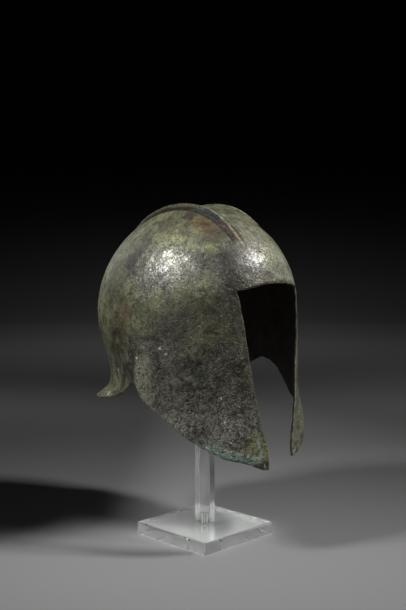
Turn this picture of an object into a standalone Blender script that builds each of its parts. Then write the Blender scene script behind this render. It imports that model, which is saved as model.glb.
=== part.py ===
# An open-faced bronze helmet hammered from one sheet, standing on a clear stand.
#
# The helmet faces -Y, +Z is up, and the origin is the middle of the stand's underside.
# The shell is worked out in its own frame first: x to the wearer's right, y forward towards the
# face, and height above the dome's widest level. It is then leaned a little, as it sits, and set
# over the post.

import math
from collections import namedtuple

import bmesh
import bpy
from mathutils import Matrix, Vector

# Dome and wall of the helmet, in metres
SHELL_WALL = 0.0017
DOME_FRONT = 0.116
DOME_BACK = 0.116
DOME_SIDE = 0.093
CROWN_RISE = 0.1090
CROWN_FORWARD = 0.0062

# The two ridges that hold the crest between them
RIDGE_OFFSET = 0.0214
RIDGE_HEIGHT = 0.0048
RIDGE_OUTER_FOOT = 0.0055
RIDGE_INNER_FOOT = 0.0095
RIDGE_BACK_SHARE = 0.35
# Places along the dome's square, which runs from 1 at the brow to -1 at the back
RIDGE_FRONT_END = 0.70
RIDGE_FULL_FROM = 0.15
RIDGE_FULL_TO = -0.25

# Face opening: its corners stand above the widest level, and it narrows down to the cheek tips
BROW_RISE = 0.0235
BROW_ARCH = 0.0062
FACE_HALF_WIDTH = 0.0435
TIP_HALF_WIDTH = 0.0165

# Cheek pieces, neck and neck guard, with heights as drops below the widest level
NOTCH_DROP = 0.0643
TIP_DROP = 0.1500
CHEEK_FLARE = 0.0060
NOTCH_FORWARD = 0.0095
NOTCH_SPREAD = 0.0025
NECK_INSET = 0.0125
NECK_STEP_SHARE = 0.25
GUARD_DROP = 0.0925
GUARD_REACH = 0.0180
FLARE_TOP = 0.0850
FLARE_FULL = 0.1080

# Holes for the chin strap, one near each cheek tip
STRAP_HOLE_RADIUS = 0.0014
STRAP_HOLE_RISE = 0.0060
STRAP_HOLE_INSET = 0.0050

# How the helmet sits: height of its widest level, distance behind the post, sideways lean
WIDEST_HEIGHT = 0.2350
SET_BACK = 0.0187
LEAN_DEGREES = 2.1

# Clear stand, and the countersunk screw that holds its post
BASE_SIDE = 0.1000
BASE_THICKNESS = 0.0127
POST_SIDE = 0.0150
POST_FROM_MIDDLE = (-0.0062, -0.0224)
REST_RADIUS = 0.0200
REST_THICKNESS = 0.0090
EDGE_BEVEL = 0.0006
SCREW_RADIUS = 0.0016
SCREW_HEAD_RADIUS = 0.0034
SCREW_HEAD_DEPTH = 0.0026
SCREW_IN_POST = 0.0100
PART_GAP = 0.0003

# Density of the mesh: squares on half the dome, rows down the skirt, sides of a round piece
HALF_SPAN_STEPS = 6
FACE_STEPS = 4
FRONT_STEPS = 12
REAR_STEPS = 13
SKIRT_ROWS = 12
ROUND_SIDES = 32

# Front edge of a cheek piece, from the brow's corner down to the tip. Drop is the share of that
# height, and narrowing the share of the way from the corner's half width to the tip's.
FaceRow = namedtuple("FaceRow", "drop narrowing")
FACE_EDGE = (
    FaceRow(0.00, 0.00),
    FaceRow(0.22, 0.20),
    FaceRow(0.50, 0.42),
    FaceRow(0.70, 0.64),
    FaceRow(0.80, 0.78),
    FaceRow(0.89, 0.97),
    FaceRow(0.95, 1.00),
    FaceRow(1.00, 0.95),
)

# Lower edges of the cheek pieces, from the front corner back to the notch behind the jaw. Along is
# the share of the way round, and drop the share of the height between the notch and the tip. The
# far cheek piece is cut away higher behind.
EdgePoint = namedtuple("EdgePoint", "along drop")
NEAR_CHEEK_EDGE = (
    EdgePoint(0.00, 1.00),
    EdgePoint(0.05, 0.98),
    EdgePoint(0.10, 0.94),
    EdgePoint(0.17, 0.89),
    EdgePoint(0.29, 0.83),
    EdgePoint(0.37, 0.77),
    EdgePoint(0.47, 0.66),
    EdgePoint(0.60, 0.53),
    EdgePoint(0.66, 0.44),
    EdgePoint(0.76, 0.35),
    EdgePoint(0.87, 0.25),
    EdgePoint(0.94, 0.15),
    EdgePoint(1.00, 0.00),
)
FAR_CHEEK_EDGE = (
    EdgePoint(0.00, 1.00),
    EdgePoint(0.08, 0.98),
    EdgePoint(0.22, 0.92),
    EdgePoint(0.34, 0.84),
    EdgePoint(0.42, 0.72),
    EdgePoint(0.47, 0.58),
    EdgePoint(0.52, 0.43),
    EdgePoint(0.58, 0.31),
    EdgePoint(0.66, 0.21),
    EdgePoint(0.76, 0.10),
    EdgePoint(0.86, 0.03),
    EdgePoint(1.00, 0.00),
)

# One cheek piece for each side of the face, with the drop of the notch behind it, the drop of its
# tip and the outward bend of its lower part as shares of NOTCH_DROP, TIP_DROP and CHEEK_FLARE.
Cheek = namedtuple("Cheek", "side notch tip flare edge")
CHEEKS = (
    Cheek(side=1, notch=1.000, tip=1.000, flare=0.33, edge=NEAR_CHEEK_EDGE),
    Cheek(side=-1, notch=0.933, tip=0.953, flare=1.00, edge=FAR_CHEEK_EDGE),
)

# Lower edge of the neck guard, from the notch round to the middle of the back. Drop is the share
# of the height between the notch and the guard's lowest point.
GUARD_EDGE = (
    EdgePoint(0.00, 0.00),
    EdgePoint(0.08, 0.22),
    EdgePoint(0.18, 0.47),
    EdgePoint(0.34, 0.74),
    EdgePoint(0.60, 0.96),
    EdgePoint(1.00, 1.00),
)

# Profile of the nape, from the widest level down to the guard's edge. Drop is a share of
# GUARD_DROP, inset a share of NECK_INSET, and reach a share of GUARD_REACH.
NapeRow = namedtuple("NapeRow", "drop inset reach")
NAPE_PROFILE = (
    NapeRow(0.00, 0.00, 0.00),
    NapeRow(0.15, 0.06, 0.00),
    NapeRow(0.35, 0.42, 0.00),
    NapeRow(0.55, 0.82, 0.00),
    NapeRow(0.72, 1.00, 0.00),
    NapeRow(0.84, 1.00, 0.10),
    NapeRow(0.93, 1.00, 0.42),
    NapeRow(1.00, 1.00, 1.00),
)

# Degrees round the shell: how far behind the notch the neck has drawn in, with a first short
# step, and where a cheek piece's flare begins and is full.
NECK_TURN_DEGREES = 34.0
NECK_STEP_DEGREES = 6.0
FLARE_FROM_DEGREES = 10.0
FLARE_TO_DEGREES = 38.0


def lerp(low, high, share):
    return low + (high - low) * share


def smooth(share):
    """Eases from 0 to 1 as share goes from 0 to 1, and stays there outside."""
    share = min(1.0, max(0.0, share))
    return share * share * (3 - 2 * share)


def read_table(rows, key, name, at):
    """Reads a column of a table at a place between two rows, without a kink at the rows."""
    keys = [getattr(row, key) for row in rows]
    values = [getattr(row, name) for row in rows]
    if at <= keys[0]:
        return values[0]
    if at >= keys[-1]:
        return values[-1]
    slopes = [0.0] * len(rows)
    for i in range(len(rows)):
        low, high = max(0, i - 1), min(len(rows) - 1, i + 1)
        slopes[i] = (values[high] - values[low]) / (keys[high] - keys[low])
    i = max(n for n, k in enumerate(keys) if k <= at)
    span = keys[i + 1] - keys[i]
    t = (at - keys[i]) / span
    return (
        (2 * t**3 - 3 * t**2 + 1) * values[i]
        + (t**3 - 2 * t**2 + t) * span * slopes[i]
        + (3 * t**2 - 2 * t**3) * values[i + 1]
        + (t**3 - t**2) * span * slopes[i + 1]
    )


def plan_radius(angle):
    """Distance from the axis to the dome's widest outline. The angle is 0 at the face."""
    length = DOME_FRONT if math.cos(angle) >= 0 else DOME_BACK
    return 1 / math.hypot(math.cos(angle) / length, math.sin(angle) / DOME_SIDE)


def angle_of_width(half_width):
    """Angle from the face at which the widest outline is that far from the middle plane."""
    forward = DOME_FRONT * math.sqrt(1 - (half_width / DOME_SIDE) ** 2)
    return math.atan2(half_width, forward)


def square_angle(angle):
    """Turns an angle round the dome's outline into the one that the square's lines follow."""
    return math.atan2(math.sin(angle), math.cos(angle) * SQUARE_RATIO)


SQUARE_RATIO = math.sqrt(DOME_SIDE / DOME_FRONT)
BROW_TURN = math.acos(BROW_RISE / CROWN_RISE)
CORNER_ANGLE = angle_of_width(FACE_HALF_WIDTH / math.sin(BROW_TURN))
NOTCH_ANGLE = math.atan2(DOME_SIDE, NOTCH_FORWARD)


def level_shrink(height):
    """Share of the widest outline that the dome still has at a height."""
    return math.sqrt(max(0.0, 1 - (max(0.0, height) / CROWN_RISE) ** 2))


def crown_shift(height):
    """How far the upper dome sits ahead of the lower part."""
    return CROWN_FORWARD * max(0.0, height) / CROWN_RISE


def ridge_lift(across, along):
    """Height of the ridges at a place of the dome's square, which spans -1 to 1 both ways."""
    to_across = 1 / (DOME_SIDE * BROW_TURN)
    crest = ridge_place()
    off = abs(across) - crest
    foot = (RIDGE_OUTER_FOOT if off > 0 else RIDGE_INNER_FOOT) * to_across
    profile = smooth(1 - abs(off) / foot)
    front = smooth((RIDGE_FRONT_END - along) / (RIDGE_FRONT_END - RIDGE_FULL_FROM))
    back = lerp(1, RIDGE_BACK_SHARE, smooth((RIDGE_FULL_TO - along) / (RIDGE_FULL_TO + 1)))
    return RIDGE_HEIGHT * profile * front * back


def ridge_place():
    """Place of a ridge's crest across the dome's square."""
    return math.asin(RIDGE_OFFSET / DOME_SIDE) / BROW_TURN


def disc_place(across, along):
    """Maps the square to a disc, so that its lines run fore and aft over the crown.
    Gives the share of the way from the crown to the brow's level, and the angle from the face."""
    p = across * math.sqrt(1 - along**2 / 2)
    q = along * math.sqrt(1 - across**2 / 2)
    return math.hypot(p, q), math.atan2(p * SQUARE_RATIO, q)


def brow_height(angle):
    """Height of the dome's lowest row: level all round, and arched over the face."""
    share = min(1.0, abs(angle) / CORNER_ANGLE)
    return BROW_RISE + BROW_ARCH * math.cos(share * math.pi / 2) ** 1.2


def dome_point(across, along):
    """Point of the dome at a place of the square."""
    share, angle = disc_place(across, along)
    turn = share * math.acos(brow_height(angle) / CROWN_RISE)
    radius = plan_radius(angle) * math.sin(turn)
    height = CROWN_RISE * math.cos(turn)
    point = Vector(
        (radius * math.sin(angle), radius * math.cos(angle) + crown_shift(height), height)
    )
    outward = Vector(
        (
            point.x / DOME_SIDE**2,
            (point.y - crown_shift(height)) / DOME_FRONT**2,
            height / CROWN_RISE**2,
        )
    ).normalized()
    return point + outward * ridge_lift(across, along)


def face_edge_angle(height, cheek):
    """Angle of a cheek piece's front edge at a height."""
    drop = (BROW_RISE - height) / (BROW_RISE + TIP_DROP * cheek.tip)
    share = read_table(FACE_EDGE, "drop", "narrowing", drop)
    return angle_of_width(lerp(FACE_HALF_WIDTH, TIP_HALF_WIDTH, share) / level_shrink(height))


def skirt_point(angle, height, across, cheek):
    """Point of the wall below the brow's level: cheek piece, neck or neck guard."""
    depth = max(0.0, -height)
    past = math.degrees(abs(angle) - NOTCH_ANGLE)
    behind = smooth(past / NECK_TURN_DEGREES)
    step = lerp(behind, smooth(past / NECK_STEP_DEGREES), NECK_STEP_SHARE)
    row = min(1.0, depth / GUARD_DROP)
    inset = NECK_INSET * read_table(NAPE_PROFILE, "drop", "inset", row) * step
    reach = GUARD_REACH * read_table(NAPE_PROFILE, "drop", "reach", row) * behind
    turned = math.degrees(abs(angle)) - FLARE_FROM_DEGREES
    flare = CHEEK_FLARE * cheek.flare * smooth(turned / (FLARE_TO_DEGREES - FLARE_FROM_DEGREES))
    flare *= smooth((depth - FLARE_TOP) / (FLARE_FULL - FLARE_TOP)) * smooth(-past / 10)
    at_notch = math.exp(-((past / 17) ** 2)) * smooth(depth / (NOTCH_DROP * cheek.notch))
    ridge = ridge_lift(across, -1.0) * (1 - smooth(depth / (GUARD_DROP * 0.8)))
    rear = smooth((abs(angle) - math.pi / 2) / (math.pi / 4))
    radius = plan_radius(angle) * level_shrink(height)
    radius += NOTCH_SPREAD * at_notch + flare + reach - inset + ridge * rear
    return Vector(
        (radius * math.sin(angle), radius * math.cos(angle) + crown_shift(height), height)
    )


def stations():
    """Lines of the dome's square across and along, with one on each ridge, corner and notch."""
    crest = ridge_place()
    to_across = 1 / (DOME_SIDE * BROW_TURN)
    inner, outer = RIDGE_INNER_FOOT * to_across, RIDGE_OUTER_FOOT * to_across
    corner = math.sqrt(2) * math.sin(square_angle(CORNER_ANGLE))
    half = [0.0, (crest - inner) * 0.5, crest - inner, crest - inner * 0.6, crest - inner * 0.25]
    half += [crest, crest + outer * 0.35, crest + outer * 0.7, crest + outer]
    start = half[-1]
    half += [lerp(start, corner, (n + 1) / FACE_STEPS) for n in range(FACE_STEPS)]
    half += [lerp(corner, 1, (n + 1) / HALF_SPAN_STEPS) for n in range(HALF_SPAN_STEPS)]
    across = [-x for x in reversed(half[1:])] + half
    notch = math.sqrt(2) * math.cos(square_angle(NOTCH_ANGLE))
    along = [lerp(1, notch, n / FRONT_STEPS) for n in range(FRONT_STEPS)]
    along += [lerp(notch, -1, n / REAR_STEPS) for n in range(REAR_STEPS + 1)]
    return across, along


def rim_of_dome(across, along):
    """Places round the dome's lowest row, from the face round the far side and back, as
    pairs of line numbers."""
    last_x, last_y = len(across) - 1, len(along) - 1
    ring = [(i, 0) for i in range(last_x)]
    ring += [(last_x, j) for j in range(last_y)]
    ring += [(i, last_y) for i in range(last_x, 0, -1)]
    ring += [(0, j) for j in range(last_y, 0, -1)]
    return ring


def rim_height(angle, cheek):
    """Height of the lower edge at an angle of the brow's level."""
    if abs(angle) <= NOTCH_ANGLE:
        along = (abs(angle) - CORNER_ANGLE) / (NOTCH_ANGLE - CORNER_ANGLE)
        drop = read_table(cheek.edge, "along", "drop", along)
        return -lerp(NOTCH_DROP * cheek.notch, TIP_DROP * cheek.tip, drop)
    along = (abs(angle) - NOTCH_ANGLE) / (math.pi - NOTCH_ANGLE)
    drop = read_table(GUARD_EDGE, "along", "drop", along)
    return -lerp(NOTCH_DROP * cheek.notch, GUARD_DROP, drop)


def skirt_column(angle, across):
    """Points of one column of the skirt, from the brow's level down to the edge."""
    cheek = next(c for c in CHEEKS if c.side * angle >= 0)
    low = rim_height(angle, cheek)
    points = []
    for row in range(1, SKIRT_ROWS + 1):
        height = lerp(BROW_RISE, low, row / SKIRT_ROWS)
        turned = abs(angle)
        if turned < NOTCH_ANGLE:
            share = (turned - CORNER_ANGLE) / (NOTCH_ANGLE - CORNER_ANGLE)
            turned = lerp(face_edge_angle(height, cheek), NOTCH_ANGLE, share)
        points.append(skirt_point(math.copysign(turned, angle), height, across, cheek))
    return points


def seat_matrix():
    """Places the helmet's own frame over the stand: forward to -Y, leaned about the crown."""
    turn = Matrix.Rotation(math.pi, 4, "Z")
    lift = Matrix.Translation((0, SET_BACK, WIDEST_HEIGHT + CROWN_RISE))
    lean = Matrix.Rotation(-math.radians(LEAN_DEGREES), 4, "Y")
    return lift @ lean @ turn @ Matrix.Translation((0, 0, -CROWN_RISE))


def material(name, color, metallic, roughness, transmission=0.0):
    made = bpy.data.materials.new(name)
    made.use_nodes = True
    shader = made.node_tree.nodes["Principled BSDF"]
    shader.inputs["Base Color"].default_value = (*color, 1)
    shader.inputs["Metallic"].default_value = metallic
    shader.inputs["Roughness"].default_value = roughness
    shader.inputs["Transmission Weight"].default_value = transmission
    shader.inputs["IOR"].default_value = 1.49
    made.diffuse_color = (*color, 1)
    return made


def add_object(name, bm, finish):
    """Makes an object of a bmesh, with its own material."""
    mesh = bpy.data.meshes.new(name)
    bm.to_mesh(mesh)
    bm.free()
    made = bpy.data.objects.new(name, mesh)
    made.data.materials.append(finish)
    bpy.context.scene.collection.objects.link(made)
    return made


def helmet_skin():
    """The shell's outer face: a grid over the crown, and columns hung from its edge."""
    across, along = stations()
    bm = bmesh.new()
    grid = {}
    for i, x in enumerate(across):
        for j, y in enumerate(along):
            grid[i, j] = bm.verts.new(dome_point(x, y))
    for i in range(len(across) - 1):
        for j in range(len(along) - 1):
            bm.faces.new((grid[i, j], grid[i + 1, j], grid[i + 1, j + 1], grid[i, j + 1]))
    ring = rim_of_dome(across, along)
    columns = []
    for i, j in ring:
        angle = disc_place(across[i], along[j])[1]
        below = []
        if abs(angle) >= CORNER_ANGLE - 1e-6:
            below = [bm.verts.new(p) for p in skirt_column(angle, across[i])]
        columns.append([grid[i, j], *below])
    for left, right in zip(columns, columns[1:] + columns[:1]):
        if len(left) == len(right) > 1:
            for n in range(SKIRT_ROWS):
                bm.faces.new((left[n], left[n + 1], right[n + 1], right[n]))
    bmesh.ops.recalc_face_normals(bm, faces=bm.faces)
    top = max(bm.faces, key=lambda face: face.calc_center_median().z)
    if top.normal.z < 0:
        bmesh.ops.reverse_faces(bm, faces=bm.faces)
    return bm


def strap_hole_cutter(cheek):
    """A short rod through the wall by a cheek piece's tip."""
    height = STRAP_HOLE_RISE - TIP_DROP * cheek.tip
    angle = face_edge_angle(height, cheek) + STRAP_HOLE_INSET / DOME_FRONT
    place = skirt_point(cheek.side * angle, height, 0, cheek)
    through = place.xy.to_3d().to_track_quat("Z", "X").to_matrix().to_4x4()
    bm = bmesh.new()
    bmesh.ops.create_cone(
        bm,
        cap_ends=True,
        segments=12,
        radius1=STRAP_HOLE_RADIUS,
        radius2=STRAP_HOLE_RADIUS,
        depth=SHELL_WALL * 8,
        matrix=Matrix.Translation(place) @ through,
    )
    cutter = add_object("cut_hole", bm, bpy.data.materials["bronze"])
    cutter.hide_render = True
    cutter.display_type = "WIRE"
    cutter.matrix_world = seat_matrix()
    return cutter


def build_helmet(bronze):
    """The shell, hammered from one sheet: dome, ridges, cheek pieces and neck guard."""
    shell = add_object("helmet_shell", helmet_skin(), bronze)
    shell.matrix_world = seat_matrix()
    wall = shell.modifiers.new("wall", "SOLIDIFY")
    wall.thickness = SHELL_WALL
    wall.offset = -1
    wall.use_even_offset = True
    for cheek in CHEEKS:
        hole = shell.modifiers.new("strap_hole", "BOOLEAN")
        hole.operation = "DIFFERENCE"
        hole.object = strap_hole_cutter(cheek)
    shell.data.shade_smooth()
    shell.data.set_sharp_from_angle(angle=math.radians(40))
    return shell


def block(side_x, side_y, low, high):
    """A square-cornered block centred on the post's axis, with eased edges."""
    bm = bmesh.new()
    size = Matrix.Diagonal((side_x, side_y, high - low, 1))
    bmesh.ops.create_cube(bm, size=1, matrix=Matrix.Translation((0, 0, (low + high) / 2)) @ size)
    bmesh.ops.bevel(
        bm, geom=bm.edges[:], offset=EDGE_BEVEL, segments=1, profile=0.5, affect="EDGES", material=-1
    )
    return bm


def turned(profile, sides=ROUND_SIDES):
    """A solid turned about the post's axis from (radius, height) pairs, bottom to top. The first
    and last lie on the axis."""
    bm = bmesh.new()
    points = [bm.verts.new((radius, 0, height)) for radius, height in profile]
    edges = [bm.edges.new(pair) for pair in zip(points, points[1:])]
    bmesh.ops.spin(
        bm, geom=points + edges, angle=math.tau, steps=sides, axis=(0, 0, 1), use_merge=True
    )
    bmesh.ops.remove_doubles(bm, verts=bm.verts, dist=1e-6)
    bmesh.ops.recalc_face_normals(bm, faces=bm.faces)
    return bm


def screw_profile(clearance, low, high):
    """Outline of the countersunk screw, or with a clearance of the hole that takes it."""
    neck, head = SCREW_RADIUS + clearance, SCREW_HEAD_RADIUS + clearance
    return ((0, low), (head, low), (head, 0), (neck, SCREW_HEAD_DEPTH), (neck, high), (0, high))


def cut_for_screw(piece, name, bronze):
    """Takes the screw's hole out of the base or the post."""
    top = BASE_THICKNESS + SCREW_IN_POST + 2 * PART_GAP
    cutter = add_object(name, turned(screw_profile(PART_GAP, -BASE_THICKNESS / 2, top), 20), bronze)
    cutter.hide_render = True
    cutter.display_type = "WIRE"
    hole = piece.modifiers.new("screw_hole", "BOOLEAN")
    hole.operation = "DIFFERENCE"
    hole.object = cutter


def rest_underside():
    """Height of the crown rest's flat underside, under the lowest part of its top."""
    return seat_height(0, 0) - REST_THICKNESS


def seat_height(x, y):
    """Height of the crown rest's top at a place of the stand: just under the shell's inner face."""
    to_helmet = seat_matrix().inverted()
    height = WIDEST_HEIGHT + CROWN_RISE
    for _ in range(8):
        own = to_helmet @ Vector((x, y, height))
        inner = CROWN_RISE - SHELL_WALL - 2 * PART_GAP
        scale = 1 - (SHELL_WALL + 2 * PART_GAP) / DOME_SIDE
        off = (own.x / (DOME_SIDE * scale)) ** 2
        off += ((own.y - crown_shift(own.z)) / (DOME_FRONT * scale)) ** 2
        height += inner * math.sqrt(1 - off) - own.z
    return height


def build_rest(clear):
    """The pad that carries the crown: a round plate whose top follows the inside of the dome."""
    bm = bmesh.new()
    bmesh.ops.create_circle(bm, cap_ends=True, cap_tris=True, segments=ROUND_SIDES, radius=REST_RADIUS)
    bmesh.ops.subdivide_edges(
        bm, edges=[e for e in bm.edges if not e.is_boundary], cuts=4, use_grid_fill=True
    )
    under = rest_underside()
    bmesh.ops.translate(bm, verts=bm.verts, vec=(0, 0, under))
    raised = bmesh.ops.extrude_face_region(bm, geom=bm.faces[:])["geom"]
    for vertex in (part for part in raised if isinstance(part, bmesh.types.BMVert)):
        vertex.co.z = seat_height(vertex.co.x, vertex.co.y)
    bmesh.ops.dissolve_faces(bm, faces=[f for f in bm.faces if f.calc_center_median().z < under + 1e-6])
    bmesh.ops.recalc_face_normals(bm, faces=bm.faces)
    return add_object("crown_rest", bm, clear)


def build_stand(clear, steel):
    """Square base, post, crown rest and the screw that joins base and post."""
    base = add_object("stand_base", block(BASE_SIDE, BASE_SIDE, 0, BASE_THICKNESS), clear)
    foot, head = BASE_THICKNESS + PART_GAP, rest_underside() - PART_GAP
    post = add_object("stand_post", block(POST_SIDE, POST_SIDE, foot, head), clear)
    cut_for_screw(base, "cut_base", clear)
    cut_for_screw(post, "cut_post", clear)
    build_rest(clear)
    end = BASE_THICKNESS + SCREW_IN_POST
    neck = ((SCREW_RADIUS, SCREW_HEAD_DEPTH), (SCREW_RADIUS, end))
    profile = ((0, 0), (SCREW_HEAD_RADIUS, 0), *neck, (0, end))
    add_object("stand_screw", turned(profile, 20), steel)


def main():
    for old in list(bpy.data.objects):
        bpy.data.objects.remove(old)
    bronze = material("bronze", (0.20, 0.20, 0.14), 0.55, 0.5)
    clear = material("clear_acrylic", (0.96, 0.97, 0.96), 0.0, 0.03, transmission=1.0)
    steel = material("screw_steel", (0.75, 0.75, 0.73), 1.0, 0.3)
    build_helmet(bronze)
    build_stand(clear, steel)
    for made in bpy.data.objects:
        made.matrix_world = Matrix.Translation((*POST_FROM_MIDDLE, 0)) @ made.matrix_world


main()
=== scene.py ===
# %% [markdown]
# # A bronze helmet on a clear stand
#
# The real thing is one sheet of bronze, hammered into a bowl with two ridges over the crown, and
# cut at the face so that two long cheek pieces hang beside it. It has lain in the ground, so its
# skin is pitted and many-coloured. It hangs on a square acrylic post that is screwed to a base.
#
# The CAD frame already has every part at its real size and place. This lesson takes the frame as
# it is, gives the sheet its hammered and eaten surface, and then spends most of its length on the
# patina, because the skin is what makes this object.

import math

import bmesh
import bpy
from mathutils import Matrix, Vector, kdtree, noise


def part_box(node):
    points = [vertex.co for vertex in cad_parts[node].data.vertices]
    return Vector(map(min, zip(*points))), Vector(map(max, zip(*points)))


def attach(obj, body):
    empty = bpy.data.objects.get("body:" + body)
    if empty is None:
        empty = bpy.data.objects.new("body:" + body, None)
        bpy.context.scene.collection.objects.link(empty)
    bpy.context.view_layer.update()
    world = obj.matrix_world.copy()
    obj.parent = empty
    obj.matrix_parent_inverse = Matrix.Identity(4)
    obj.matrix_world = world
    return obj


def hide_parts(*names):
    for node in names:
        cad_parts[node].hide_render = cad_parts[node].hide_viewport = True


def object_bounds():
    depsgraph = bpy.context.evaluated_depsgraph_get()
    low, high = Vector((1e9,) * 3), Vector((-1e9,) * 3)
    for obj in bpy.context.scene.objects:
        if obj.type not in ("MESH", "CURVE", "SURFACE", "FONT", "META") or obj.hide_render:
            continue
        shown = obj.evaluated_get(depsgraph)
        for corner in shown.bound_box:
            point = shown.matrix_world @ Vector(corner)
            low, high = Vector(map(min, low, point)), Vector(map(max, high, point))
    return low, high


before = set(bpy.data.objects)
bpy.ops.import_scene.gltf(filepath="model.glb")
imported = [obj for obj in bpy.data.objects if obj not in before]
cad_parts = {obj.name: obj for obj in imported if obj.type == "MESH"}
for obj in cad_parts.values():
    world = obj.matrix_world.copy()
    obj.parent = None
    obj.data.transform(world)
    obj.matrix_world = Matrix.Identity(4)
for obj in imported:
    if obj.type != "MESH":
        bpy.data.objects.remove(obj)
cad_low, cad_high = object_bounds()
print("parts in the frame:", ", ".join(sorted(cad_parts)))
print("box in metres:", [round(high - low, 4) for low, high in zip(cad_low, cad_high)])

# %% [markdown]
# ## The sheet of bronze
#
# The CAD shell is made of flat triangles. It could be smoothed with a shader alone, but then its
# outline would stay angular and no dent could show in it. So a copy is welded, its pairs of
# triangles become quads again, and Subdivision rounds it. Edges get a crease first, the stronger
# the sharper they turn, or the cut rim, the strap holes and the two ridges would melt away.

# %% Weld a copy of the shell
TURN_OF_A_RIM = math.radians(60)
TURN_OF_A_RIDGE = math.radians(12)


def welded_copy(node):
    """A bmesh of a CAD node, with its loose triangles joined."""
    bm = bmesh.new()
    bm.from_mesh(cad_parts[node].data)
    bmesh.ops.remove_doubles(bm, verts=bm.verts, dist=1e-6)
    return bm


sheet = welded_copy("helmet_shell")
bmesh.ops.join_triangles(
    sheet,
    faces=sheet.faces,
    angle_face_threshold=math.radians(40),
    angle_shape_threshold=math.radians(70),
)
crease = sheet.edges.layers.float.new("crease_edge")
rim = sheet.verts.layers.float.new("rim")
for edge in sheet.edges:
    turn = edge.calc_face_angle(0)
    edge[crease] = min(0.75, max(0.0, (turn - TURN_OF_A_RIDGE) / TURN_OF_A_RIM))
    if turn > TURN_OF_A_RIM:
        for corner in edge.verts:
            corner[rim] = 1.0
print("welded sheet:", len(sheet.faces), "faces,", len(sheet.verts), "corners")


# %% Round the sheet
def object_of(name, bm):
    """Puts a bmesh into the scene as an object at the origin, shaded smooth."""
    mesh = bpy.data.meshes.new(name)
    bm.to_mesh(mesh)
    bm.free()
    mesh.shade_smooth()
    made = bpy.data.objects.new(name, mesh)
    bpy.context.scene.collection.objects.link(made)
    return made


def apply_modifiers(made):
    """Keeps what the modifiers show as the object's own mesh."""
    shown = made.evaluated_get(bpy.context.evaluated_depsgraph_get())
    mesh = bpy.data.meshes.new_from_object(shown)
    made.modifiers.clear()
    made.data = mesh


helmet = object_of("helmet", sheet)
rounding = helmet.modifiers.new("rounding", "SUBSURF")
rounding.levels = rounding.render_levels = 2
apply_modifiers(helmet)
print("rounded sheet:", len(helmet.data.polygons), "faces")

# %% [markdown]
# ## Hammer marks, dents and an eaten rim
#
# A smith raises such a bowl with thousands of blows, and the ground then eats it unevenly. The
# soft forms belong in the mesh, because they bend the highlights and the outline. Each corner is
# moved in and out along the line from the middle of the head, the same on both faces, so the wall
# keeps its thickness. Noise with a length of some 35 mm gives the hammered swell, one of 9 mm the
# small dents, and one of 3 mm roughens the outer face alone. Behind each cheek piece the sheet was
# bent in over an edge, which leaves a fold. The nicks in the rim come from noise_vector, whose
# offsets Blender draws from the clock, so they get a seed of their own.

# %% Find the outer face and the distance to the rim
HEAD_MIDDLE = Vector((0.0, -0.002, 0.235))
CROWN_REST = Vector((-0.0062, -0.0224, 0.341))


def away_from_head(place):
    """Direction straight out from the head: level below its widest part, and rising above it."""
    off = place - HEAD_MIDDLE
    off.z = max(0.0, off.z)
    return off.normalized()


bm = bmesh.new()
bm.from_mesh(helmet.data)
bm.normal_update()
inside = bm.verts.layers.float.new("inside")
edge_gap = bm.verts.layers.float.new("edge_gap")
rim = bm.verts.layers.float["rim"]
rim_corners = [corner for corner in bm.verts if corner[rim] > 0.999]
rim_tree = kdtree.KDTree(len(rim_corners))
for number, corner in enumerate(rim_corners):
    rim_tree.insert(corner.co, number)
rim_tree.balance()
to_rim = {corner: rim_tree.find(corner.co)[2] for corner in bm.verts}
print("corners on the rim:", len(rim_corners), "of", len(bm.verts))

# %% Move the corners
SWELL = 0.00055
SWELL_LENGTH = 0.035
DENT = 0.00022
DENT_LENGTH = 0.009
ROUGHNESS = 0.00016
ROUGHNESS_LENGTH = 0.0032
LIP = 0.00035
LIP_WIDTH = 0.0035
NICK = 0.0007
NICK_LENGTH = 0.006
NICK_REACH = 0.007
NICK_SEED = 7
FOLD_AT = -0.0075
FOLD_WIDTH = 0.0045
FOLD_DEPTH = 0.0018
FOLD_TOP = 0.212
FOLD_FULL = 0.186
REST_EDGE = 0.024
REST_CLEAR = 0.040
BOX_MARGIN = 5e-5


def fade(value, low, high):
    """Eases from 0 to 1 while value goes from low to high."""
    share = min(1.0, max(0.0, (value - low) / (high - low)))
    return share * share * (3 - 2 * share)


def keep_in_box(place):
    """The nearest place inside the frame's box."""
    limits = ((low + BOX_MARGIN, high - BOX_MARGIN) for low, high in zip(cad_low, cad_high))
    return Vector([min(high, max(low, value)) for value, (low, high) in zip(place, limits)])


noise.seed_set(NICK_SEED)
for corner in bm.verts:
    place = corner.co.copy()
    out = away_from_head(place)
    facing = corner.normal.dot(out)
    corner[inside] = fade(-facing, -0.25, 0.25)
    corner[edge_gap] = to_rim[corner] * 1000
    free = fade((place - CROWN_REST).length, REST_EDGE, REST_CLEAR)
    move = SWELL * (noise.noise(place / SWELL_LENGTH) - 0.35)
    move += DENT * noise.noise(place / DENT_LENGTH)
    move += LIP * math.exp(-((to_rim[corner] / LIP_WIDTH) ** 2)) * (1 - corner[inside])
    corner.co += out * move * free
    fold = math.exp(-(((place.y - FOLD_AT) / FOLD_WIDTH) ** 2)) * fade(place.z, FOLD_TOP, FOLD_FULL)
    corner.co -= out * FOLD_DEPTH * fold
    eaten = noise.noise(place / ROUGHNESS_LENGTH) * ROUGHNESS * fade(facing, 0.2, 0.6) * free
    corner.co += corner.normal * eaten
    near_rim = 1 - fade(to_rim[corner], 0.0, NICK_REACH)
    corner.co += noise.noise_vector(place / NICK_LENGTH) * NICK * near_rim * free
    corner.co = keep_in_box(corner.co)
bm.to_mesh(helmet.data)
bm.free()
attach(helmet, "root")
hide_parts("helmet_shell")
print("helmet box in metres:", [round(side, 4) for side in helmet.dimensions])

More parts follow.
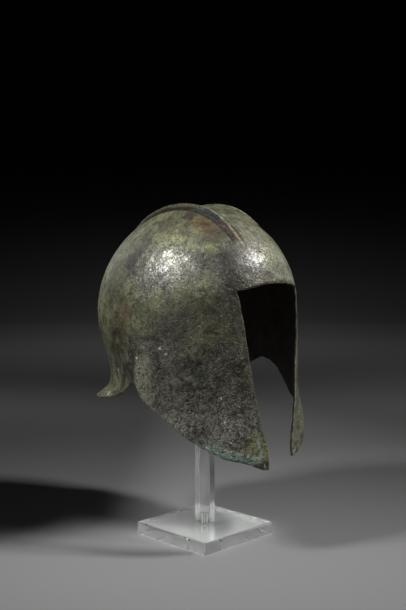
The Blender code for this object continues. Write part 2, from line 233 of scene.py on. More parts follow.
# %% [markdown]
# ## Writing materials as sums
#
# A shader graph for a patina has hundreds of nodes, and wiring them by hand hides what they work
# out. Two small classes fix that. Finish holds one material and adds any node from one method.
# Wire wraps a socket and overloads + - * so that a mask is written as the sum that it is. Colours
# don't go through the sums, because a Math node turns them grey, so they have blend. Places, which
# are vectors, have vector_maths.


# %% Wire and Finish
class Wire:
    """A node's output that can stand in a sum."""

    def __init__(self, finish, socket):
        self.finish = finish
        self.socket = socket

    def __add__(self, other):
        return self.finish.maths("ADD", self, other)

    def __radd__(self, other):
        return self.finish.maths("ADD", other, self)

    def __sub__(self, other):
        return self.finish.maths("SUBTRACT", self, other)

    def __rsub__(self, other):
        return self.finish.maths("SUBTRACT", other, self)

    def __mul__(self, other):
        return self.finish.maths("MULTIPLY", self, other)

    def __rmul__(self, other):
        return self.finish.maths("MULTIPLY", other, self)


class Finish:
    """One material, whose nodes are added one by one."""

    def __init__(self, name):
        self.material = bpy.data.materials.new(name)
        self.material.use_nodes = True
        self.tree = self.material.node_tree
        self.shader = self.tree.nodes["Principled BSDF"]

    def add(self, kind, settings=None, inputs=None, output=0):
        """Adds a node, sets it up, then fills its sockets with values or wires."""
        node = self.tree.nodes.new(kind)
        for name, value in (settings or {}).items():
            setattr(node, name, value)
        self.fill(node, inputs or {})
        return Wire(self, node.outputs[output])

    def fill(self, node, inputs):
        for name, value in inputs.items():
            if isinstance(value, Wire):
                self.tree.links.new(value.socket, node.inputs[name])
            else:
                node.inputs[name].default_value = value

    def maths(self, operation, first, second=0.0):
        return self.add("ShaderNodeMath", {"operation": operation}, {0: first, 1: second})

    def vector_maths(self, operation, *values, output=0):
        """Adds a Vector Math node on vectors, values or wires."""
        settings = {"operation": operation}
        return self.add("ShaderNodeVectorMath", settings, dict(enumerate(values)), output)

    def blend(self, share, first, second):
        """Goes from the first colour to the second by a share."""
        settings = {"data_type": "RGBA", "blend_type": "MIX"}
        inputs = {0: share, 6: as_colour(first), 7: as_colour(second)}
        return self.add("ShaderNodeMix", settings, inputs, output=2)

    def wear(self, made):
        """Gives an object this finish in place of what it had."""
        made.data.materials.clear()
        made.data.materials.append(self.material)


def as_colour(value):
    """A colour with its alpha, or the wire as it is."""
    return value if isinstance(value, Wire) else (*value, 1.0)


# %% [markdown]
# ## Tools for a patina
#
# The patterns read Object coordinates, turned into millimetres so that every size in the graph is
# the size on the helmet. Few tools are enough: cloudy noise, cell distance for pits, an ease that
# turns a pattern into a mask, a line that follows one level of a value, and a blot, which is a soft
# round patch at a named place on the helmet. Noise pulls the place about first, so that neither a
# line nor a blot has a drawn border.


# %% Patterns in millimetres
class Patina(Finish):
    """A finish with the patterns that corroded bronze needs, and its colour so far."""

    def __init__(self, name):
        super().__init__(name)
        coordinates = self.add("ShaderNodeTexCoord", output="Object")
        self.place = self.moved(coordinates, 1000.0, (0, 0, 0))
        self.colour = None

    def lay(self, share, tint):
        """Lays a tint over the colour so far."""
        self.colour = self.blend(share, self.colour, tint)

    def moved(self, vector, scale, offset):
        return self.vector_maths("MULTIPLY_ADD", vector, (scale,) * 3, offset)

    def pull(self, size, offset, detail):
        """A cloud's colour about zero, which can move a place in all three directions."""
        vector = self.moved(self.place, 1 / size, offset)
        inputs = {"Vector": vector, "Scale": 1.0, "Detail": detail}
        cloud = self.add("ShaderNodeTexNoise", {}, inputs, output="Color")
        return self.vector_maths("SUBTRACT", cloud, (0.5,) * 3)

    def astray(self, pull, reach):
        """The place, pulled about as far as that reach."""
        return self.vector_maths("MULTIPLY_ADD", pull, (reach,) * 3, self.place)

    def clouds(self, size, detail=3.0, rough=0.55, twist=0.0, seed=0.0, at=None):
        """Cloudy noise from 0 to 1 whose largest clouds have that size."""
        vector = self.moved(at or self.place, 1 / size, (seed, 1.7 * seed, -seed))
        inputs = {"Vector": vector, "Scale": 1.0, "Detail": detail, "Roughness": rough}
        return self.add("ShaderNodeTexNoise", {}, inputs | {"Distortion": twist})

    def cells(self, size, seed=0.0):
        """Distance to the nearest of scattered points, 0 at a point."""
        vector = self.moved(self.place, 1 / size, (seed, 1.7 * seed, -seed))
        inputs = {"Vector": vector, "Scale": 1.0, "Randomness": 1.0}
        return self.add("ShaderNodeTexVoronoi", {"feature": "F1"}, inputs, output="Distance")

    def ease(self, value, low, high, start=0.0, end=1.0):
        """Start below low, end above high, and a smooth change between them."""
        settings = {"interpolation_type": "SMOOTHSTEP"}
        inputs = {0: value, 1: low, 2: high, 3: start, 4: end}
        return self.add("ShaderNodeMapRange", settings, inputs)

    def line(self, value, level, inner, outer):
        """1 where the value is within inner of a level, and 0 from outer on."""
        return self.ease(self.maths("ABSOLUTE", value - level), inner, outer, 1.0, 0.0)

    def axis(self, name):
        return self.add("ShaderNodeSeparateXYZ", {}, {0: self.place}, output=name)

    def attribute(self, name):
        return self.add("ShaderNodeAttribute", {"attribute_name": name}, output="Fac")

    def blot(self, centre, radius, soft=0.5, at=None):
        """A round patch: 1 within its radius, fading out over a share of it."""
        far = self.vector_maths("DISTANCE", at or self.place, centre, output="Value")
        return self.ease(far, radius * (1 - soft), radius * (1 + soft), 1.0, 0.0)

    def either(self, *masks):
        """The strongest of several masks."""
        top = masks[0]
        for mask in masks[1:]:
            top = self.maths("MAXIMUM", top, mask)
        return top


# %% [markdown]
# ## The ground colour of the bronze
#
# Under everything lies an olive crust, paler where it is thick and browner where it is thin. Two
# sizes of cloud mix four earths. The place is also kept in two versions that a cloud has pulled
# about, widely for broad patches and a little for small ones, so that none has a round border. The
# helmet leans, so the distance from its own middle plane depends on the height.

# %% Olive ground
LEAN = math.tan(math.radians(2.1))
MIDDLE_AT_GROUND = 6.42
bronze = Patina("patinated_bronze")
pull = bronze.pull(14, (3, 8, 1), 3.0)
strayed = bronze.astray(pull, 38)
nudged = bronze.astray(pull, 9)
height = bronze.axis("Z")
side = bronze.axis("X")
ahead = bronze.axis("Y")
from_middle = bronze.maths("ABSOLUTE", side + height * LEAN - MIDDLE_AT_GROUND)

DARK_OLIVE = (0.050, 0.051, 0.028)
OLIVE = (0.120, 0.125, 0.064)
PALE_OLIVE = (0.228, 0.238, 0.130)
BROWN = (0.085, 0.060, 0.036)

broad = bronze.clouds(46, detail=4, rough=0.6, seed=2)
middle = bronze.clouds(13, detail=5, rough=0.65, twist=0.6, seed=5)
fine = bronze.clouds(2.6, detail=4, rough=0.7, twist=0.8, seed=9)
grain = bronze.clouds(0.9, detail=3, rough=0.7, seed=11)
bronze.colour = bronze.blend(bronze.ease(middle, 0.30, 0.62), DARK_OLIVE, OLIVE)
bronze.lay(bronze.ease(broad * 0.7 + middle * 0.3, 0.48, 0.64), PALE_OLIVE)
bronze.lay(bronze.ease(middle * broad, 0.32, 0.42) * 0.6, BROWN)
print("ground laid with", len(bronze.tree.nodes), "nodes")

# %% [markdown]
# ## Bare grey patches
#
# Where the crust has come off, the tin-rich skin shows grey with a hint of violet and still has
# some shine. On the real helmet these patches lie over the side of the dome and over the brow, so
# they are placed by name, at their places in millimetres.

# %% Grey skin
GREY_SKIN = (0.205, 0.202, 0.203)
DEEP_GREY = (0.052, 0.051, 0.050)
GREY_PATCHES = {
    "side of the crown": ((-86, -8, 285), 20),
    "above the cheek": ((-85, -38, 276), 24),
    "between crown and brow": ((-70, -68, 280), 17),
    "over the brow": ((-50, -92, 284), 19),
    "middle of the brow": ((-26, -105, 286), 19),
    "corner of the face": ((-50, -101, 266), 15),
    "back of the crown": ((-40, 84, 290), 28),
    "far side of the dome": ((84, -30, 275), 26),
    "far brow": ((52, -88, 288), 16),
    "far nape": ((66, 70, 235), 24),
}
patches = [bronze.blot(at, radius, 0.75, strayed) for at, radius in GREY_PATCHES.values()]
bare = bronze.either(*patches)
broken = bronze.ease(middle * 0.7 + fine * 0.3, 0.34, 0.62)
bare = bare * (0.35 + broken * 0.65)
grey = bronze.blend(bronze.ease(fine, 0.38, 0.60), DEEP_GREY, GREY_SKIN)
bronze.lay(bare * 0.92, grey)
crusty = 1 - bare * 0.65
print("grey patches:", len(GREY_PATCHES))

# %% [markdown]
# ## The lower cheek pieces
#
# Below the widest level the crust is thinner and evenly pitted, dark grey with brown in it. The
# band along the face opening stays paler, with a dark streak beside it. The fold behind each
# cheek piece is darkened with painted shade.

# %% Cheek pieces and neck
CHEEK_GREY = (0.088, 0.086, 0.074)
LOW_GREY = (0.310, 0.295, 0.260)
CHEEK_DARK = (0.034, 0.031, 0.026)
EDGE_BAND = (0.170, 0.160, 0.105)
NECK_OLIVE = (0.165, 0.165, 0.105)

low = bronze.ease(height + middle * 40, 250, 215)
forward = bronze.ease(ahead, 10, -20)
cheek = low * forward
neck = low * (1 - forward)
cheek_colour = bronze.blend(
    bronze.ease(fine * 0.6 + middle * 0.4, 0.36, 0.60), CHEEK_DARK, CHEEK_GREY
)
lowest = bronze.ease(height, 172, 112) * bronze.ease(fine, 0.33, 0.56)
cheek_colour = bronze.blend(lowest, cheek_colour, LOW_GREY)
neck_colour = bronze.blend(bronze.ease(middle, 0.35, 0.6), DARK_OLIVE, NECK_OLIVE)
bronze.lay(cheek * 0.85, cheek_colour)
bronze.lay(neck * 0.7, neck_colour)

# %% Band and streak beside the face, painted shade in the fold behind the cheek
beside_face = bronze.ease(ahead, -60, -80)
opening_edge = 44 - bronze.ease(height, 250, 105, 0, 26)
band = bronze.ease(from_middle - opening_edge, 1.0, 12.0, 1.0, 0.0) * beside_face
bronze.lay(band * bronze.ease(height, 205, 225) * 0.75, CHEEK_DARK)
band = band * bronze.ease(height, 222, 200)
bronze.lay(band * bronze.ease(middle, 0.32, 0.55) * 0.6, EDGE_BAND)
streak = bronze.line(from_middle - opening_edge, 15, 1.5, 4.5) * beside_face
streak = streak * bronze.ease(height, 236, 222) * bronze.ease(height, 165, 185)
bronze.lay(streak * bronze.ease(fine + middle, 0.85, 1.15) * 0.35, CHEEK_DARK)
# Painted shade: the fold behind each cheek piece is darkened.
fold = bronze.ease(ahead, -15, -10) * bronze.ease(ahead, 8, -2) * bronze.ease(height, 216, 190)
bronze.lay(fold * 0.9, CHEEK_DARK)
print("cheeks and neck laid,", len(bronze.tree.nodes), "nodes so far")

# %% [markdown]
# ## Stains at known places
#
# Rust from iron that lay beside it, brown and red spots, yellow-green and violet patches. Each is
# a row of a table: where it is, how wide, how strong, and its colour. One loop lays them over the
# ground, so a stain is moved or dropped by changing its row. Small ones read a place that is
# pulled about less, or they would land beside where they belong.

# %% Table of stains
RUST = (0.128, 0.074, 0.025)
DARK_RUST = (0.030, 0.016, 0.010)
RED_BROWN = (0.100, 0.054, 0.028)
YELLOW_GREEN = (0.270, 0.272, 0.125)
VIOLET = (0.130, 0.092, 0.100)
LIGHT_CRUST = (0.300, 0.300, 0.200)
VIOLET_BROWN = (0.062, 0.040, 0.040)
EDGE_BROWN = (0.050, 0.038, 0.020)
STAINS = (
    ("rust outside the near ridge", (-42, -51, 325), 10, 0.9, RUST),
    ("brown end of the rust", (-42, -66, 317), 11, 0.9, BROWN),
    ("rust running down", (-47, -73, 309), 7, 0.65, BROWN),
    ("dark spot at the ridge", (-43, -36, 330), 7, 1.0, DARK_RUST),
    ("rust below it", (-45, -62, 317), 8, 0.55, RUST),
    ("heart of the dark spot", (-43, -37, 330), 6, 1.3, DARK_RUST),
    ("dark flecks in the rust", (-43, -58, 322), 4, 0.80, DARK_RUST),
    ("dark fleck below it", (-45, -69, 314), 4, 0.70, DARK_RUST),
    ("violet-brown spot", (-53, -70, 306), 4, 0.75, VIOLET_BROWN),
    ("brown over the crown", (-52, -20, 322), 22, 0.25, BROWN),
    ("yellow streak", (-54, -77, 299), 6, 0.60, YELLOW_GREEN),
    ("yellow on the side", (-66, -40, 308), 13, 0.40, YELLOW_GREEN),
    ("dark patch above the brow", (-61, -77, 289), 10, 0.55, DEEP_GREY),
    ("dark patch on the side", (-84, 1, 287), 9, 0.65, DEEP_GREY),
    ("dark patch above it", (-81, -9, 295), 6, 0.45, DEEP_GREY),
    ("pale olive of the side", (-90, -38, 250), 10, 0.50, PALE_OLIVE),
    ("olive far brow", (14, -108, 284), 20, 0.90, LIGHT_CRUST),
    ("pale far brow", (30, -98, 300), 22, 0.60, PALE_OLIVE),
    ("brown edge of the brow", (-15, -116, 267), 9, 0.70, EDGE_BROWN),
    ("brown corner of the brow", (-34, -111, 264), 7, 0.55, EDGE_BROWN),
    ("pale between the ridges", (2, -84, 318), 22, 0.45, LIGHT_CRUST),
    ("dark brown behind", (-92, 14, 214), 15, 0.85, DARK_RUST),
    ("brown rim of it", (-94, 3, 243), 11, 0.45, BROWN),
    ("red spot behind", (-95, -2, 236), 7, 0.85, RED_BROWN),
    ("dark side of the crown", (-88, 22, 262), 16, 0.55, DARK_OLIVE),
    ("red spot lower", (-94, 8, 226), 7, 0.45, RED_BROWN),
    ("olive cheek top", (-66, -84, 212), 15, 0.65, OLIVE),
    ("dark below the olive side", (-80, -60, 229), 16, 0.55, CHEEK_DARK),
    ("olive under the patches", (-78, -66, 257), 13, 0.60, OLIVE),
    ("dark band", (-84, -58, 228), 18, 0.55, DEEP_GREY),
    ("dark cheek corner", (-58, -94, 243), 15, 0.80, CHEEK_DARK),
    ("violet on the cheek", (-66, -86, 132), 11, 0.40, VIOLET),
    ("violet lower", (-72, -76, 142), 8, 0.35, VIOLET),
    ("yellow tip", (-24, -115, 108), 14, 0.95, YELLOW_GREEN),
    ("pale tip", (-28, -114, 100), 10, 0.70, LIGHT_CRUST),
    ("far cheek olive", (40, -112, 130), 30, 0.80, PALE_OLIVE),
    ("dark line on the far cheek", (36, -113, 142), 7, 0.60, EDGE_BROWN),
    ("far cheek tip", (24, -116, 104), 9, 0.50, YELLOW_GREEN),
    ("dark cheek top", (-87, -47, 213), 14, 0.95, CHEEK_DARK),
    ("green guard", (-64, 60, 152), 14, 0.55, YELLOW_GREEN),
    ("brown neck", (-82, 34, 195), 9, 0.80, DARK_RUST),
    ("brown beside the notch", (-88, 9, 178), 8, 0.85, DARK_RUST),
    ("dark neck", (-84, 26, 186), 14, 0.45, DEEP_GREY),
    ("green guard at the back", (10, 108, 150), 24, 0.45, YELLOW_GREEN),
    ("rust at the back", (30, 92, 270), 12, 0.45, RUST),
    ("brown nape", (-30, 100, 215), 22, 0.45, BROWN),
)
ragged = bronze.ease(middle * 0.55 + fine * 0.45, 0.34, 0.56)
for name, at, radius, strength, stain in STAINS:
    small = radius < 12
    patch = bronze.blot(at, radius, 0.6 if small else 0.85, nudged if small else strayed)
    bronze.lay(patch * (0.25 + ragged * 0.75) * strength, stain)
print("stains:", len(STAINS))

# %% [markdown]
# ## The two ridges
#
# Dark corrosion covers the outer face of each ridge, violet at the back, blue-black on the crown
# and pink-violet towards the face. A dark line lies at its foot, and its upper part is olive again
# at the back. A pale line along its crest is a painted highlight. All follow the ridge, so they
# are lines on the distance from the helmet's own middle plane. Long strokes of crust run fore and
# aft in the hollow between.

# %% Ridge feet, crests and strokes
RIDGE_CREST = 21.6
RIDGE_MIDDLE = 23.5
RIDGE_FACE = 25.5
RIDGE_FOOT = 28.5
DARK_TEAL = (0.055, 0.075, 0.080)
DARK_VIOLET = (0.012, 0.009, 0.009)
PINK_VIOLET = (0.125, 0.090, 0.092)
RIDGE_OLIVE = (0.150, 0.145, 0.100)
top = bronze.ease(height, 298, 308)
near_side = bronze.ease(side, 6, -6)
off_middle = from_middle + (fine - 0.5) * 2.4
face = bronze.line(off_middle, RIDGE_FACE, 2.0, 4.0) * top
face_colour = bronze.blend(bronze.ease(ahead + middle * 14, -16, -34), DARK_VIOLET, DARK_TEAL)
face_colour = bronze.blend(bronze.ease(ahead + middle * 14, -56, -64), face_colour, PINK_VIOLET)
face_colour = bronze.blend(bronze.ease(fine, 0.56, 0.42) * 0.7, face_colour, DARK_RUST)
face_colour = bronze.blend(bronze.ease(fine, 0.56, 0.68) * 0.35, face_colour, OLIVE)
bronze.lay(face * (0.30 + near_side * 0.65), face_colour)
foot_line = bronze.line(off_middle, RIDGE_FOOT, 0.4, 1.8) * top
bronze.lay(foot_line * bronze.ease(middle, 0.35, 0.5) * 0.8, DARK_RUST)
upper_face = bronze.ease(off_middle, 26.0, 24.4) * bronze.ease(off_middle, 19.5, 20.5)
upper_face = upper_face * top * near_side * bronze.ease(ahead, -52, -38)
bronze.lay(upper_face * bronze.ease(fine, 0.36, 0.50) * 0.75, RIDGE_OLIVE)
# Painted highlight: a pale line along the ridge crest, stronger towards the face.
crest_highlight = bronze.line(off_middle, RIDGE_CREST, 0.5, 1.8) * top
bronze.lay(crest_highlight * (0.15 + bronze.ease(ahead, -30, -55) * 0.75), LIGHT_CRUST)
dull = bronze.line(from_middle, RIDGE_MIDDLE, 4.5, 8.0) * top
off_ridge = 1 - dull * 0.85

# %% Strokes in the hollow
lengthwise = bronze.vector_maths("MULTIPLY", bronze.place, (1.0, 0.14, 0.4))
strokes = bronze.clouds(2.8, detail=3, rough=0.6, seed=51, at=lengthwise)
hollow = bronze.ease(from_middle, 22, 17) * bronze.ease(height, 280, 305)
bronze.lay(hollow * bronze.ease(strokes, 0.50, 0.36) * 0.5, BROWN)
bronze.lay(hollow * bronze.ease(strokes, 0.52, 0.68) * 0.4, LIGHT_CRUST)
print("ridges laid,", len(bronze.tree.nodes), "nodes so far")

# %% [markdown]
# ## Verdigris and the edge of the brow
#
# Verdigris gathers where water hung, along the lower edges of the near cheek piece, and the front
# of its tip is yellow-green. An attribute holds each corner's distance to the rim in millimetres,
# and the fine cloud added to it makes the stain's inner border ragged. The brow's edge is brown.

# %% Stained edges
VERDIGRIS = (0.260, 0.420, 0.350)
marks = bronze.clouds(7, detail=4, rough=0.65, twist=1.2, seed=61)
from_edge = bronze.attribute("edge_gap") + (fine - 0.5) * 7
cheek_tip = bronze.ease(ahead, -70, -86) * bronze.ease(height, 124, 110) * near_side
face_edge = bronze.ease(from_middle - opening_edge, 3.0, 9.0, 1.0, 0.0)
lower_edge = cheek_tip * (1 - face_edge)
bronze.lay(face_edge * cheek_tip * bronze.ease(from_edge, 9.0, 4.0) * 0.7, YELLOW_GREEN)
damp = bronze.ease(from_edge, 7.5, 3.0) * bronze.ease(marks, 0.36, 0.52) * lower_edge
bronze.lay(damp * 0.85, VERDIGRIS)
brow_edge = bronze.ease(from_edge, 5.0, 2.5) * bronze.ease(height, 256, 262)
brow_edge = brow_edge * bronze.ease(ahead, -85, -95) * bronze.ease(middle, 0.36, 0.50)
bronze.lay(brow_edge * 0.85, EDGE_BROWN)

# %% [markdown]
# ## Dark and pale marks at every size
#
# Old bronze has no even patch anywhere: dark hollows and pale blooms lie over all of it. Each
# cloud, from the grain of 0.9 mm to the one of 13 mm, darkens the colour where it is low and
# lightens it where it is high. The low parts of the helmet take more of both, and bare grey skin
# takes less.

# %% Hollows and blooms
PIT = (0.016, 0.014, 0.011)
BLOOM = (0.295, 0.300, 0.215)
crust = off_ridge * crusty
bronze.lay(bronze.ease(fine, 0.52, 0.34) * (0.56 + cheek * 0.2) * crusty, PIT)
bronze.lay(bronze.ease(fine, 0.54, 0.70) * (0.32 + cheek * 0.16) * crust, BLOOM)
bronze.lay(bronze.ease(middle, 0.50, 0.32) * (0.38 + low * 0.25), PIT)
bronze.lay(bronze.ease(middle, 0.54, 0.70) * (0.16 + low * 0.10) * crust, BLOOM)
bronze.lay(bronze.ease(marks, 0.50, 0.38) * (0.30 + low * 0.37) * crusty, PIT)
bronze.lay(bronze.ease(marks, 0.55, 0.67) * (0.16 + low * 0.10) * crust, BLOOM)
bronze.lay(bronze.ease(grain, 0.54, 0.68) * (1 - bare) * 0.22 * off_ridge, BLOOM)
bronze.lay(bronze.ease(grain, 0.52, 0.36) * 0.22, PIT)
print("hollows and blooms laid,", len(bronze.tree.nodes), "nodes so far")

# %% [markdown]
# ## Painted rim highlights and the dark tip
#
# Pale bands along some rims are painted highlights: behind the cheek pieces, round the neck
# guard and on the far side. The lower edge has a pale green rim with a second pale line above
# it, where the verdigris ends. Round the strap hole the tip is dark.

# %% Rims
PALE_GREEN = (0.400, 0.500, 0.420)
DARK_TIP = (((-19, -117, 90), 6), ((-27, -114, 88), 5))
# Painted highlight: a pale band on the outer face along each cheek piece's rear edge.
rear_edge_highlight = bronze.ease(ahead, -13, -17) * bronze.ease(ahead, -38, -26)
rear_edge_highlight = rear_edge_highlight * bronze.ease(height, 204, 184) * bronze.ease(fine, 0.36, 0.52)
bronze.lay(rear_edge_highlight * (1 - bronze.attribute("inside")) * 0.55, BLOOM)
# Painted highlights: pale glints along the rims of the neck guard and the lower far side.
far_low = bronze.ease(side, 15, 30) * bronze.ease(height, 235, 200)
glint_zone = bronze.either(bronze.ease(ahead, 20, 40), far_low)
rim_glint = bronze.ease(from_edge, 4.0, 1.5) * glint_zone * bronze.ease(middle, 0.42, 0.54)
bronze.lay(rim_glint * 0.5, LIGHT_CRUST)
bronze.lay(bronze.ease(from_edge, 3.0, 0.8) * lower_edge * 0.35, PALE_GREEN)
pale_line = bronze.line(from_edge, 7.5, 0.5, 2.5) * lower_edge
bronze.lay(pale_line * bronze.ease(marks, 0.40, 0.54) * 0.6, PALE_GREEN)
for at, radius in DARK_TIP:
    bronze.lay(bronze.blot(at, radius, 0.4, nudged) * 0.85, CHEEK_DARK)

# %% [markdown]
# ## Pits and painted glints
#
# Pits are round, so they are cells: dark within a short distance of scattered points. Some hold a
# pale bloom, which gives the cheek its salt-and-pepper look. A few bright specks are painted
# glints: too bright for any noise, so they are placed, and a quick cloud makes each one ragged.

# %% Pits
pits = bronze.ease(bronze.cells(2.1, seed=4), 0.16, 0.34, 1.0, 0.0)
deep_pits = bronze.ease(bronze.cells(5.5, seed=7), 0.10, 0.24, 1.0, 0.0)
pitted = bronze.ease(bronze.clouds(20, seed=21), 0.38, 0.58)
bronze.lay(pits * (0.25 + cheek * 0.5) * pitted, PIT)
bronze.lay(deep_pits * pitted * 0.5, PIT)
bloom = bronze.ease(bronze.cells(1.7, seed=14), 0.12, 0.30, 1.0, 0.0)
bloom = bloom * bronze.ease(grain, 0.46, 0.60)
bronze.lay(bloom * (0.18 + cheek * 0.42) * off_ridge, BLOOM)

# %% Painted glints
# Painted glints: small near-white specks at given places.
GLINT_WHITE = (0.620, 0.620, 0.540)
GLINT_SPECKS = (
    ((-57, -95, 156), 1.6),
    ((-56, -96, 151), 1.1),
    ((-55, -98, 134), 1.5),
    ((-44, -106, 131), 0.9),
    ((-50, -101, 114), 1.1),
    ((-51, -101, 101), 1.3),
    ((-89, -44, 203), 1.3),
    ((-86, -50, 197), 1.3),
    ((-93, -20, 182), 1.2),
    ((-53, -78, 312), 1.0),
    ((-76, 34, 173), 1.7),
    ((-76, 50, 148), 2.2),
    ((-95, -17, 192), 1.2),
    ((-27, -114, 98), 1.4),
)
shaken = bronze.astray(bronze.pull(2.2, (5, 1, 7), 2.0), 5)
for at, radius in GLINT_SPECKS:
    glint_speck = bronze.blot(at, radius, 0.5, shaken) * bronze.ease(grain, 0.36, 0.50)
    bronze.lay(glint_speck * 0.9, GLINT_WHITE)
print("specks:", len(GLINT_SPECKS))

# %% [markdown]
# ## Relief
#
# The shine of the grey skin is broken by many thin grooves that run like worm tracks. They are the
# line where a noise crosses 0.5. The cheek has round pits, and everything has a fine grain. Cracks
# are the same line on a much slower noise, kept to one patch of the cheek.

# %% Bump
worms = bronze.line(bronze.clouds(4.6, 1.5, 0.5, 1.1, seed=31), 0.5, 0.012, 0.055)
bronze.lay(worms * (0.24 + bare * 0.60), PIT)
crack_zone = bronze.blot((-80, -60, 158), 30, 0.3)
cracks = bronze.line(bronze.clouds(26, 3, 0.5, 1.2, seed=43), 0.5, 0.003, 0.014) * crack_zone
bronze.lay(cracks * 0.85, PIT)
relief = fine * (1.25 - bare * 1.05) + grain * (0.5 - bare * 0.35) - worms * (0.40 + bare * 0.40)
relief = relief - pits * pitted * (0.4 + cheek * 0.5) - deep_pits * pitted * 0.7 - cracks * 0.8
bump = bronze.add(
    "ShaderNodeBump", {}, {"Strength": 1.0, "Distance": 0.00032, "Height": relief}, output="Normal"
)

# %% [markdown]
# ## Inside, edges and shine
#
# The inside of the bowl is a dull brown-black, which is partly its own crust and partly painted
# shade. The cut rim is rubbed paler. Bare grey skin shines like worn metal, crust is nearly matt
# and the ridges are dull, so roughness and metal follow the same masks as the colour.

# %% Finish the bronze
INNER_DARK = (0.022, 0.018, 0.014)
INNER_BROWN = (0.055, 0.040, 0.026)
RUBBED = (0.240, 0.235, 0.160)

inner = bronze.attribute("inside")
rim_share = bronze.attribute("rim")
bronze.lay(bronze.ease(rim_share, 0.90, 1.0) * bronze.ease(middle, 0.4, 0.6) * 0.30, RUBBED)
# Partly painted shade: the inside faces get a near-black brown.
inside_crust_and_shade = bronze.blend(bronze.ease(middle, 0.40, 0.62), INNER_DARK, INNER_BROWN)
bronze.lay(inner * bronze.ease(rim_share, 1.0, 0.93), inside_crust_and_shade)
shine = bare * (1 - inner)
roughness = 0.42 - shine * 0.06 + (grain - 0.5) * 0.12 + inner * 0.3 + dull * 0.42
bronze.fill(
    bronze.shader,
    {
        "Base Color": bronze.colour,
        "Metallic": (0.35 + shine * 0.4) * (1 - inner) * (1 - dull) + dull * 0.85,
        "Roughness": roughness,
        "Normal": bump,
        "Specular IOR Level": 0.45,
        "Coat Weight": (1 - dull) * (0.06 + bare * 0.14),
        "Coat Roughness": 0.3,
    },
)
bronze.wear(helmet)
print("bronze has", len(bronze.tree.nodes), "nodes")

# %% [markdown]
# ## The clear stand
#
# Post, base and crown rest are cast acrylic: clear, with a refractive index of 1.49 and the
# faintest green in the thick. The CAD solids have the right shape down to their eased edges, so
# they stay and only get a finish. Cycles would throw a black shadow from clear plastic, so rays
# from the lamps pass through a Transparent shader instead. Handling leaves a haze of fine smears,
# which changes the roughness a little, and hairline scratches come from noise stretched along one
# axis. Dust on the faces scatters a few hundredths of the light, and the post and the base each
# have a share of their own.

# %% Acrylic
def clear_plastic(name, transmission):
    """Cast acrylic. What it doesn't let through it scatters, as a dusty surface does."""
    acrylic = Patina(name)
    smears = acrylic.clouds(22, detail=4, rough=0.6, twist=1.5, seed=3)
    stretched = acrylic.vector_maths("MULTIPLY", acrylic.place, (0.12, 1.0, 0.35))
    hairlines = acrylic.ease(acrylic.clouds(0.8, 1.0, 0.5, at=stretched), 0.68, 0.74)
    relief_inputs = {"Strength": 0.25, "Distance": 0.00001, "Height": hairlines}
    scratched = acrylic.add("ShaderNodeBump", {}, relief_inputs, output="Normal")
    lamp_ray = acrylic.add("ShaderNodeLightPath", output="Is Shadow Ray")
    straight = acrylic.add("ShaderNodeBsdfTransparent", {}, {"Color": (0.95, 0.97, 0.96, 1.0)})
    acrylic.fill(
        acrylic.shader,
        {
            "Base Color": (0.985, 0.990, 0.987, 1.0),
            "Roughness": acrylic.ease(smears, 0.35, 0.75, 0.002, 0.018),
            "Transmission Weight": transmission,
            "IOR": 1.49,
            "Normal": scratched,
        },
    )
    solid = Wire(acrylic, acrylic.shader.outputs[0])
    lit = acrylic.add("ShaderNodeMixShader", {}, {0: lamp_ray, 1: solid, 2: straight})
    acrylic.fill(acrylic.tree.nodes["Material Output"], {"Surface": lit})
    return acrylic


post_plastic = clear_plastic("clear_acrylic", 0.96)
base_plastic = clear_plastic("dusty_acrylic", 0.965)
CLEAR_PIECES = {
    "stand_base": base_plastic,
    "stand_post": post_plastic,
    "crown_rest": post_plastic,
}
for node, plastic in CLEAR_PIECES.items():
    plastic.wear(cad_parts[node])
print("acrylic worn by the post, the base and the crown rest")

# %% [markdown]
# ## The screw
#
# A countersunk steel screw comes up through the base into the post, and shows as a bright streak
# through the acrylic. Its thread is a small triangle spun round the axis while it climbs, which is
# what the spin operator's dvec is for. The shank and the head are one profile spun a full turn.

# %% Screw with its thread
screw_low, screw_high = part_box("stand_screw")
AXIS = Vector(((screw_low.x + screw_high.x) / 2, (screw_low.y + screw_high.y) / 2, 0))
HEAD_RADIUS = (screw_high.x - screw_low.x) / 2
SHANK_RADIUS = 0.0016
CORE_RADIUS = 0.0012
HEAD_DEPTH = 0.0026
HEAD_EDGE = 0.0002
POINT_LENGTH = 0.0006
TIP_CLEARANCE = 0.0001
THREAD_START = 0.0008
THREAD_SPARE = 0.0022
PITCH = 0.0007
STEPS_IN_A_TURN = 20
SOCKET_RADIUS = 0.0012
SOCKET_DEPTH = 0.0012


def spin_profile(bm, profile, sides):
    """Turns (radius, height) pairs a full turn about the screw's axis."""
    corners = [bm.verts.new(AXIS + Vector((radius, 0, z))) for radius, z in profile]
    edges = [bm.edges.new(pair) for pair in zip(corners, corners[1:])]
    bmesh.ops.spin(
        bm,
        geom=corners + edges,
        cent=AXIS,
        axis=(0, 0, 1),
        angle=math.tau,
        steps=sides,
        use_merge=True,
    )
    bmesh.ops.remove_doubles(bm, verts=bm.verts, dist=1e-6)


